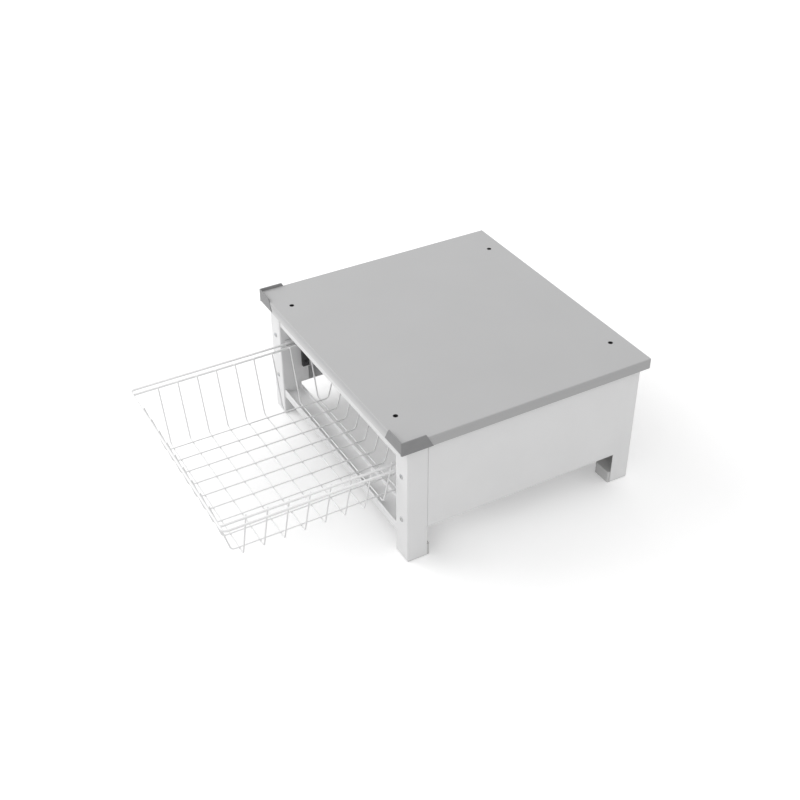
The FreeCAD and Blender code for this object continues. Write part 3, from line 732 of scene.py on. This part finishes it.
def shank(bm, place, radius, start, thread_start, end, pitch, tip_radius, tip_length):
    """A plain shank that goes over into a rolled thread."""
    rows = [circle(radius, start)]
    count = round((end - thread_start) / pitch * THREAD_ROWS_PER_TURN)
    for k in range(count + 1):
        height = thread_start + (end - thread_start) * k / count
        rows.append(thread_row(radius, height, thread_start, end, pitch, tip_radius, tip_length))
    turned_skin(bm, place, rows, SHANK_SIDES)


def socket_head(bm, place, radius, height, socket, socket_depth):
    """A round button head with a hexagon socket. Its top is at zero and its seat at its height."""
    flat = radius * BUTTON_FLAT_SHARE
    rim = 0.45 * MM
    chamfer = 0.12 * MM
    slope = 0.25 * MM
    slope_depth = 0.3 * MM
    rows = [
        hexagon_row(socket, socket_depth, -slope),
        hexagon_row(socket, socket_depth - slope_depth),
        hexagon_row(socket, slope_depth),
        hexagon_row(socket, 0.08 * MM, 0.1 * MM),
        hexagon_row(socket, 0.0, slope),
    ]
    steps = 9
    for k in range(steps + 1):
        swing = math.pi / 2 * k / steps
        across = flat + (radius - flat) * math.sin(swing)
        rows.append(circle(across, (height - rim) * (1 - math.cos(swing))))
    rows.append(circle(radius, height - chamfer))
    rows.append(circle(radius - chamfer, height))
    turned_skin(bm, place, rows, SOCKET_HEAD_SIDES)


def cross_recess(x, y, arm, width, depth):
    """How deep a cross recess is at a point of the head."""
    soft = 0.22 * MM
    ramp_length = arm * 0.55
    deepest = 0.0
    for along, across in ((abs(x), abs(y)), (abs(y), abs(x))):
        wall = min(1.0, max(0.0, (width - across) / soft))
        ramp = min(1.0, max(0.0, (arm - along) / ramp_length))
        deepest = max(deepest, depth * wall * ramp)
    return deepest


def pan_head(bm, place, radius, height):
    """A pan head with a cross recess. Its top is at zero and its seat at its height."""
    rim = 0.5 * MM
    chamfer = 0.1 * MM
    opening = 0.6
    arm = radius * RECESS_ARM_SHARE
    groove = radius * RECESS_WIDTH_SHARE
    recess_depth = height * RECESS_DEPTH_SHARE
    rows = []
    steps = 22
    for k in range(steps + 1):
        across = radius * math.sin(math.pi / 2 * (k + opening) / (steps + opening))
        lift = (height - rim) * (1 - math.sqrt(max(0.0, 1 - (across / radius) ** 4)))

        def row(turn, across=across, lift=lift):
            x = across * math.cos(turn)
            y = across * math.sin(turn)
            return across, lift + cross_recess(x, y, arm, groove, recess_depth)

        rows.append(row)
    rows.append(circle(radius, height - chamfer))
    rows.append(circle(radius - chamfer, height))
    turned_skin(bm, place, rows, PAN_HEAD_SIDES)


def hexagon_nut(bm, place, width, bore, height):
    """A nut with both faces chamfered and its bore countersunk."""
    seat = width / 2 * NUT_SEAT_SHARE
    sink = 0.35 * MM
    slope = math.tan(math.radians(30))

    def chamfered(turn):
        radius = hexagon_radius(width, turn)
        return radius, (radius - seat) * slope

    def upper(turn):
        radius, drop = chamfered(turn)
        return radius, height - drop

    rows = [
        circle(bore, sink), circle(bore + sink, 0.0), circle(seat, 0.0), chamfered,
        upper, circle(seat, height), circle(bore + sink, height), circle(bore, height - sink),
    ]
    turned_skin(bm, place, rows, NUT_SIDES, ring=True)


def weld_bead(bm, place, radius, height, lobes, rng):
    """A small bead that fills the corners between two wires."""
    steps = 6
    opening = 0.35
    stray = 0.12
    across_share = rng.uniform(0.93, 1.07)
    height_share = rng.uniform(0.94, 1.08)
    offset = Vector((rng.uniform(-stray, stray) * MM, rng.uniform(-stray, stray) * MM, 0.0))
    rows = []
    for k in range(steps + 1):
        tilt = math.pi * (k + opening) / (steps + 2 * opening) - math.pi / 2

        def row(turn, tilt=tilt):
            bulge = 1 - BEAD_BULGE * math.cos(lobes * turn)
            across = radius * across_share * math.cos(tilt) * bulge
            return across, height * height_share * math.sin(tilt)

        rows.append(row)
    turned_skin(bm, place @ Matrix.Translation(offset), rows, BEAD_SIDES)


def wire_cap(bm, place, radius, height):
    """The rounded coat over a wire's cut end."""
    overlap = 0.4 * MM
    opening = 0.4
    rows = [circle(radius * 0.98, -overlap), circle(radius * 1.005, 0.0)]
    steps = 5
    for k in range(1, steps + 1):
        swing = math.pi / 2 * k / (steps + opening)
        rows.append(circle(radius * math.cos(swing), height * math.sin(swing)))
    turned_skin(bm, place, rows, BEAD_SIDES)


def spot_mark(bm, place, radius):
    """The shallow ring that a spot welding tip leaves."""
    rows = [circle(radius * across, height * MM) for across, height in SPOT_PROFILE]
    turned_skin(bm, place, rows, SPOT_SIDES)


def bar_places(name, axis, head_outward):
    """For each bar of a node: its head's place, its direction, its length and its width."""
    middle = middle_of("top_plate")
    places = []
    for low, high in solids(name):
        centre = (low + high) / 2
        outward = 1 if centre[axis] > middle[axis] else -1
        sign = -outward if head_outward else outward
        direction = Vector()
        direction[axis] = sign
        start = centre.copy()
        start[axis] = low[axis] if sign > 0 else high[axis]
        size = high - low
        width = max(size[(axis + 1) % 3], size[(axis + 2) % 3])
        places.append((start, direction, size[axis], width))
    return places


# Operators


class PEDESTAL_OT_coat_sheets(bpy.types.Operator):
    """Powder coats the legs, rails, panels, runners and stiffeners in white"""
    bl_idname = "pedestal.coat_sheets"
    bl_label = "Coat the sheet parts"

    def execute(self, context):
        dress(SHEET_NODES, white_coat(context.scene))
        return {"FINISHED"}


class PEDESTAL_OT_coat_plate(bpy.types.Operator):
    """Gives the top plate its grey coat with a fine texture"""
    bl_idname = "pedestal.coat_plate"
    bl_label = "Coat the top plate"

    def execute(self, context):
        dress(["top_plate"], plate_coat(context.scene))
        return {"FINISHED"}


class PEDESTAL_OT_finish_plastics(bpy.types.Operator):
    """Gives the corner stops, guide brackets, bushings and foot caps their moulded grain"""
    bl_idname = "pedestal.finish_plastics"
    bl_label = "Finish the plastic parts"

    def execute(self, context):
        dress(STOP_NODES, grey_plastic(context.scene))
        # The bushings' black is painted shade inside the plate's holes
        dress(BRACKET_NODES + [BUSHING_NODE], black_plastic_and_hole_shade(context.scene))
        dress(FOOT_NODES, foot_plastic(context.scene))
        return {"FINISHED"}


class PEDESTAL_OT_coat_basket(bpy.types.Operator):
    """Powder coats the wires of the basket"""
    bl_idname = "pedestal.coat_basket"
    bl_label = "Coat the basket"

    def execute(self, context):
        dress([RIM_NODE] + RAIL_WIRES + CROSS_WIRES + LONG_WIRES, wire_coat(context.scene))
        return {"FINISHED"}


class PEDESTAL_OT_weld_basket(bpy.types.Operator):
    """Welds the basket's wires where they cross and where they meet the rim"""
    bl_idname = "pedestal.weld_basket"
    bl_label = "Weld the basket"

    def execute(self, context):
        welds = context.scene.pedestal_welds
        rng = random.Random(BEAD_SEED)
        bm = bmesh.new()
        crosses = [(middle_of(name).y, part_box(name)) for name in CROSS_WIRES]
        longs = [(middle_of(name).x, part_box(name)) for name in LONG_WIRES]
        up = Vector((0.0, 0.0, 1.0))
        low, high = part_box(CROSS_WIRES[0])
        wire = high.y - low.y
        for y, (cross_low, _) in crosses:
            for x, (long_low, _) in longs:
                height = (cross_low.z + wire + long_low.z) / 2
                place = frame_along(Vector((x, y, height)), up)
                weld_bead(bm, place, welds.bead_radius, welds.bead_height, CROSS_LOBES, rng)
        rim_low, rim_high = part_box(RIM_NODE)
        rim_radius = (rim_high.z - rim_low.z) / 2
        rim_height = (rim_high.z + rim_low.z) / 2
        for name in CROSS_WIRES:
            for (end, along), rail in zip(upper_ends(name, 0), RAIL_WIRES):
                bar = middle_of(rail)
                bar.y = end.y
                self.bead_at_bar(bm, end, along, bar, rim_radius, welds, rng)
        for name in LONG_WIRES:
            rim_rows = (rim_low.y + rim_radius, rim_high.y - rim_radius)
            for (end, along), row in zip(upper_ends(name, 1), rim_rows):
                bar = Vector((end.x, row, rim_height))
                self.bead_at_bar(bm, end, along, bar, rim_radius, welds, rng)
        butt_radius = rim_radius * BUTT_BEAD_SHARE
        for rail in RAIL_WIRES:
            low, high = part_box(rail)
            bar = (low + high) / 2
            for y, outward in ((low.y, -1), (high.y, 1)):
                place = frame_along(Vector((bar.x, y, bar.z)), Vector((0.0, outward, 0.0)))
                weld_bead(bm, place, butt_radius, BUTT_BEAD_HEIGHT, BUTT_LOBES, rng)
        piece = finished_object(
            "basket_weld_beads", bm, wire_coat(context.scene), "basket",
        )
        if not piece.data.polygons:
            raise RuntimeError("The basket got no weld beads")
        return {"FINISHED"}

    def bead_at_bar(self, bm, end, along, bar, bar_radius, welds, rng):
        """A bead where a sloping wire passes a bar."""
        nearest = end - along * (end - bar).dot(along)
        outward = (nearest - bar).normalized()
        place = frame_along(bar + outward * bar_radius, outward)
        weld_bead(bm, place, welds.rim_bead_radius, welds.bead_height, CROSS_LOBES, rng)


class PEDESTAL_OT_round_wire_ends(bpy.types.Operator):
    """Rounds off the coat on the upper ends of the basket's thin wires"""
    bl_idname = "pedestal.round_wire_ends"
    bl_label = "Round the wire ends"

    def execute(self, context):
        welds = context.scene.pedestal_welds
        bm = bmesh.new()
        low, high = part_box(CROSS_WIRES[0])
        radius = (high.y - low.y) / 2
        for names, axis in ((CROSS_WIRES, 0), (LONG_WIRES, 1)):
            for name in names:
                for end, along in upper_ends(name, axis):
                    wire_cap(bm, frame_along(end, along), radius, welds.tip_height)
        finished_object("basket_wire_ends", bm, wire_coat(context.scene), "basket")
        return {"FINISHED"}


class PEDESTAL_OT_mark_spot_welds(bpy.types.Operator):
    """Puts the marks of the spot welds on the stiffeners' flanges"""
    bl_idname = "pedestal.mark_spot_welds"
    bl_label = "Mark the spot welds"

    def execute(self, context):
        welds = context.scene.pedestal_welds
        bm = bmesh.new()
        down = Vector((0.0, 0.0, -1.0))
        for name in ("left_plate_stiffener", "right_plate_stiffener"):
            low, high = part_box(name)
            count = int((high.y - low.y - welds.spot_pitch) / welds.spot_pitch) + 1
            first = (low.y + high.y) / 2 - welds.spot_pitch * (count - 1) / 2
            for x in (low.x + STIFFENER_FLANGE / 2, high.x - STIFFENER_FLANGE / 2):
                for k in range(count):
                    spot = Vector((x, first + welds.spot_pitch * k, high.z - STIFFENER_SHEET))
                    spot_mark(bm, frame_along(spot, down), welds.spot_radius)
        finished_object(
            "stiffener_spot_welds", bm, white_coat(context.scene), "stand",
        )
        return {"FINISHED"}


class PEDESTAL_OT_turn_bolts(bpy.types.Operator):
    """Makes the leg bolts and the plate studs with their threads"""
    bl_idname = "pedestal.turn_bolts"
    bl_label = "Turn the bolts and studs"

    def execute(self, context):
        sizes = context.scene.pedestal_fasteners
        radius = sizes.bolt_diameter / 2
        pitch = sizes.bolt_pitch
        rng = random.Random(BOLT_SEED)
        zinc = bright_zinc(context.scene)
        bm = bmesh.new()
        for start, direction, reach, width in bar_places("leg_bolts", 1, True):
            place = frame_along(start, direction, rng.uniform(0, math.pi))
            socket_head(
                bm, place, width / 2, sizes.bolt_head, sizes.bolt_socket, sizes.bolt_socket_depth,
            )
            thread_start = reach - sizes.bolt_thread
            shank(
                bm, place, radius, sizes.bolt_head - HEAD_OVERLAP, thread_start, reach,
                pitch, radius - TIP_DEPTH_SHARE * pitch, TIP_LENGTH_SHARE * pitch,
            )
        bolts = finished_object("leg_bolts_threaded", bm, zinc, "stand")
        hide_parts("leg_bolts")
        bm = bmesh.new()
        for low, high in solids("plate_studs"):
            top = Vector(((low.x + high.x) / 2, (low.y + high.y) / 2, high.z))
            place = frame_along(top, Vector((0.0, 0.0, -1.0)), rng.uniform(0, math.pi))
            reach = high.z - low.z
            shank(
                bm, place, radius, 0.0, STUD_PLAIN_LENGTH, reach,
                pitch, radius - TIP_DEPTH_SHARE * pitch, TIP_LENGTH_SHARE * pitch,
            )
        studs = finished_object("plate_studs_threaded", bm, zinc, "stand")
        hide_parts("plate_studs")
        return {"FINISHED"}


class PEDESTAL_OT_turn_screws(bpy.types.Operator):
    """Makes the frame screws and the guide brackets' screws"""
    bl_idname = "pedestal.turn_screws"
    bl_label = "Turn the screws"

    def execute(self, context):
        sizes = context.scene.pedestal_fasteners
        rng = random.Random(SCREW_SEED)
        kinds = (
            (
                "frame_screws", sizes.screw_diameter, sizes.screw_pitch, sizes.screw_head, False,
                bright_zinc(context.scene), "zinc_steel",
            ),
            (
                "guide_bracket_screws", sizes.guide_screw_diameter, sizes.guide_screw_pitch,
                sizes.guide_screw_head, True, black_oxide(context.scene), "black_steel",
            ),
        )
        for name, diameter, pitch, head, pointed, material, slot_name in kinds:
            radius = diameter / 2
            bm = bmesh.new()
            for start, direction, reach, width in bar_places(name, 0, False):
                place = frame_along(start, direction, rng.uniform(0, math.pi))
                pan_head(bm, place, width / 2, head)
                tip_radius = radius - TIP_DEPTH_SHARE * pitch
                tip_length = TIP_LENGTH_SHARE * pitch
                if pointed:
                    tip_radius = GUIDE_SCREW_TIP_RADIUS
                    tip_length = GUIDE_SCREW_TIP_LENGTH
                shank(
                    bm, place, radius, head - HEAD_OVERLAP, head + SCREW_PLAIN_LENGTH,
                    reach, pitch, tip_radius, tip_length,
                )
            piece = finished_object(name + "_threaded", bm, material, "stand")
            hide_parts(name)
        return {"FINISHED"}


class PEDESTAL_OT_make_nuts(bpy.types.Operator):
    """Makes the nuts of the bolts, screws and studs"""
    bl_idname = "pedestal.make_nuts"
    bl_label = "Make the nuts"

    def execute(self, context):
        sizes = context.scene.pedestal_fasteners
        rng = random.Random(NUT_SEED)
        zinc = bright_zinc(context.scene)
        kinds = (
            ("leg_bolt_nuts", 1, sizes.bolt_diameter, sizes.bolt_nut_width),
            ("frame_screw_nuts", 0, sizes.screw_diameter, sizes.screw_nut_width),
            ("plate_stud_nuts", 2, sizes.bolt_diameter, sizes.bolt_nut_width),
        )
        for name, axis, diameter, width in kinds:
            bm = bmesh.new()
            for low, high in solids(name):
                start = (low + high) / 2
                start[axis] = low[axis]
                direction = Vector()
                direction[axis] = 1.0
                place = frame_along(start, direction, rng.uniform(0, math.pi))
                hexagon_nut(bm, place, width, diameter / 2, high[axis] - low[axis])
            piece = finished_object(name + "_chamfered", bm, zinc, "stand")
            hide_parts(name)
        return {"FINISHED"}


class PEDESTAL_OT_build_stage(bpy.types.Operator):
    """Builds the pale floor, the studio light and the camera"""
    bl_idname = "pedestal.build_stage"
    bl_label = "Build the studio"

    def execute(self, context):
        stage = context.scene.pedestal_stage
        self.make_floor(context, stage)
        self.make_light(context, stage)
        self.make_camera(context, stage)
        context.scene.view_settings.view_transform = "Standard"
        return {"FINISHED"}

    def seen_directly(self, tree):
        """One for camera, glossy and transmission rays, else nothing."""
        path = add_node(tree, "ShaderNodeLightPath")
        camera, glossy = path.outputs["Is Camera Ray"], path.outputs["Is Glossy Ray"]
        seen = arithmetic(tree, "MAXIMUM", camera, glossy)
        return arithmetic(tree, "MAXIMUM", seen, path.outputs["Is Transmission Ray"])

    def make_floor(self, context, stage):
        """A large square floor that looks white where no shadow falls, and is open from below."""
        reach = stage.floor_size / 2
        bm = bmesh.new()
        bmesh.ops.create_grid(bm, x_segments=8, y_segments=8, size=reach)
        mesh = bpy.data.meshes.new("studio_floor")
        bm.to_mesh(mesh)
        bm.free()
        floor = bpy.data.objects.new("studio_floor", mesh)
        context.scene.collection.objects.link(floor)
        material, tree, output = empty_material("pale_studio_floor")
        seen = self.seen_directly(tree)
        coords = add_node(tree, "ShaderNodeTexCoord").outputs["Object"]
        mottle = noise(tree, coords, FLOOR_MOTTLE_SIZE, 3.0)
        pale = mixed_colour(tree, mottle, *FLOOR_MOTTLE_TINTS)
        base = mixed_colour(tree, seen, tuple(stage.floor_colour), pale)
        paint = add_node(tree, "ShaderNodeBsdfDiffuse", Color=base)
        glow_level = arithmetic(tree, "MULTIPLY", seen, stage.floor_glow)
        glow = add_node(tree, "ShaderNodeEmission", Color=WHITE_LIGHT, Strength=glow_level)
        lit = add_node(tree, "ShaderNodeAddShader")
        tree.links.new(paint.outputs[0], lit.inputs[0])
        tree.links.new(glow.outputs[0], lit.inputs[1])
        clear = add_node(tree, "ShaderNodeBsdfTransparent")
        below = add_node(tree, "ShaderNodeNewGeometry").outputs["Backfacing"]
        sides = add_node(tree, "ShaderNodeMixShader", Fac=below)
        tree.links.new(lit.outputs[0], sides.inputs[1])
        tree.links.new(clear.outputs[0], sides.inputs[2])
        tree.links.new(sides.outputs[0], output.inputs["Surface"])
        floor.data.materials.append(material)

    def make_light(self, context, stage):
        """Even light from all sides, with one large soft lamp from the front left."""
        world = bpy.data.worlds.new("studio_sky")
        context.scene.world = world
        world.use_nodes = True
        tree = world.node_tree
        tree.nodes.clear()
        level = arithmetic(tree, "MAXIMUM", self.seen_directly(tree), stage.sky_level)
        sky = add_node(tree, "ShaderNodeBackground", Color=WHITE_LIGHT, Strength=level)
        output = add_node(tree, "ShaderNodeOutputWorld")
        tree.links.new(sky.outputs[0], output.inputs["Surface"])
        lamp = bpy.data.lights.new("key_light", "AREA")
        lamp.shape = "SQUARE"
        lamp.size = stage.key_size
        lamp.energy = stage.key_level * math.pi ** 2 * stage.key_distance ** 2
        key = bpy.data.objects.new("key_light", lamp)
        context.scene.collection.objects.link(key)
        towards = direction_at(stage.key_azimuth, stage.key_elevation)
        aim = middle_of("top_plate")
        aim.z = AIM_HEIGHT
        key.matrix_world = Matrix.Translation(aim + towards * stage.key_distance) @ (
            towards.to_track_quat("Z", "Y").to_matrix().to_4x4()
        )

    def make_camera(self, context, stage):
        """The camera at the viewing angle of the picture."""
        back = direction_at(stage.camera_azimuth, stage.camera_elevation)
        right = (-back).cross(Vector((0.0, 0.0, 1.0))).normalized()
        up = right.cross(-back)
        roll = Matrix.Rotation(stage.camera_roll, 3, back)
        axes = Matrix((roll @ right, roll @ up, back)).transposed()
        data = bpy.data.cameras.new("picture_camera")
        data.sensor_width = FILM_WIDTH
        data.lens = stage.camera_lens
        data.clip_end = VIEW_END
        camera = bpy.data.objects.new("picture_camera", data)
        context.scene.collection.objects.link(camera)
        camera.matrix_world = Matrix.Translation(Vector(stage.camera_place)) @ axes.to_4x4()
        context.scene.camera = camera


STEPS = (
    PEDESTAL_OT_build_stage,
    PEDESTAL_OT_coat_sheets,
    PEDESTAL_OT_coat_plate,
    PEDESTAL_OT_finish_plastics,
    PEDESTAL_OT_coat_basket,
    PEDESTAL_OT_weld_basket,
    PEDESTAL_OT_round_wire_ends,
    PEDESTAL_OT_mark_spot_welds,
    PEDESTAL_OT_turn_bolts,
    PEDESTAL_OT_turn_screws,
    PEDESTAL_OT_make_nuts,
)
GROUPS = {
    "pedestal_coats": PedestalCoats,
    "pedestal_fasteners": PedestalFasteners,
    "pedestal_welds": PedestalWelds,
    "pedestal_stage": PedestalStage,
}


class PEDESTAL_PT_sidebar(bpy.types.Panel):
    """Lists the steps and the settings of the pedestal"""
    bl_idname = "PEDESTAL_PT_sidebar"
    bl_label = "Pedestal"
    bl_space_type = "VIEW_3D"
    bl_region_type = "UI"
    bl_category = "Pedestal"

    def draw(self, context):
        for step in STEPS:
            self.layout.operator(step.bl_idname)
        for name, group in GROUPS.items():
            box = self.layout.box()
            box.label(text=group.__doc__)
            for setting in group.__annotations__:
                box.prop(getattr(context.scene, name), setting)


def register():
    for name, group in GROUPS.items():
        bpy.utils.register_class(group)
        setattr(bpy.types.Scene, name, bpy.props.PointerProperty(type=group))
    for step in STEPS:
        bpy.utils.register_class(step)
    bpy.utils.register_class(PEDESTAL_PT_sidebar)


def unregister():
    bpy.utils.unregister_class(PEDESTAL_PT_sidebar)
    for step in reversed(STEPS):
        bpy.utils.unregister_class(step)
    for name, group in GROUPS.items():
        delattr(bpy.types.Scene, name)
        bpy.utils.unregister_class(group)


def main():
    """Registers the steps and runs them in order."""
    register()
    for step in STEPS:
        family, action = step.bl_idname.split(".")
        getattr(getattr(bpy.ops, family), action)()


if __name__ == "__main__":
    main()
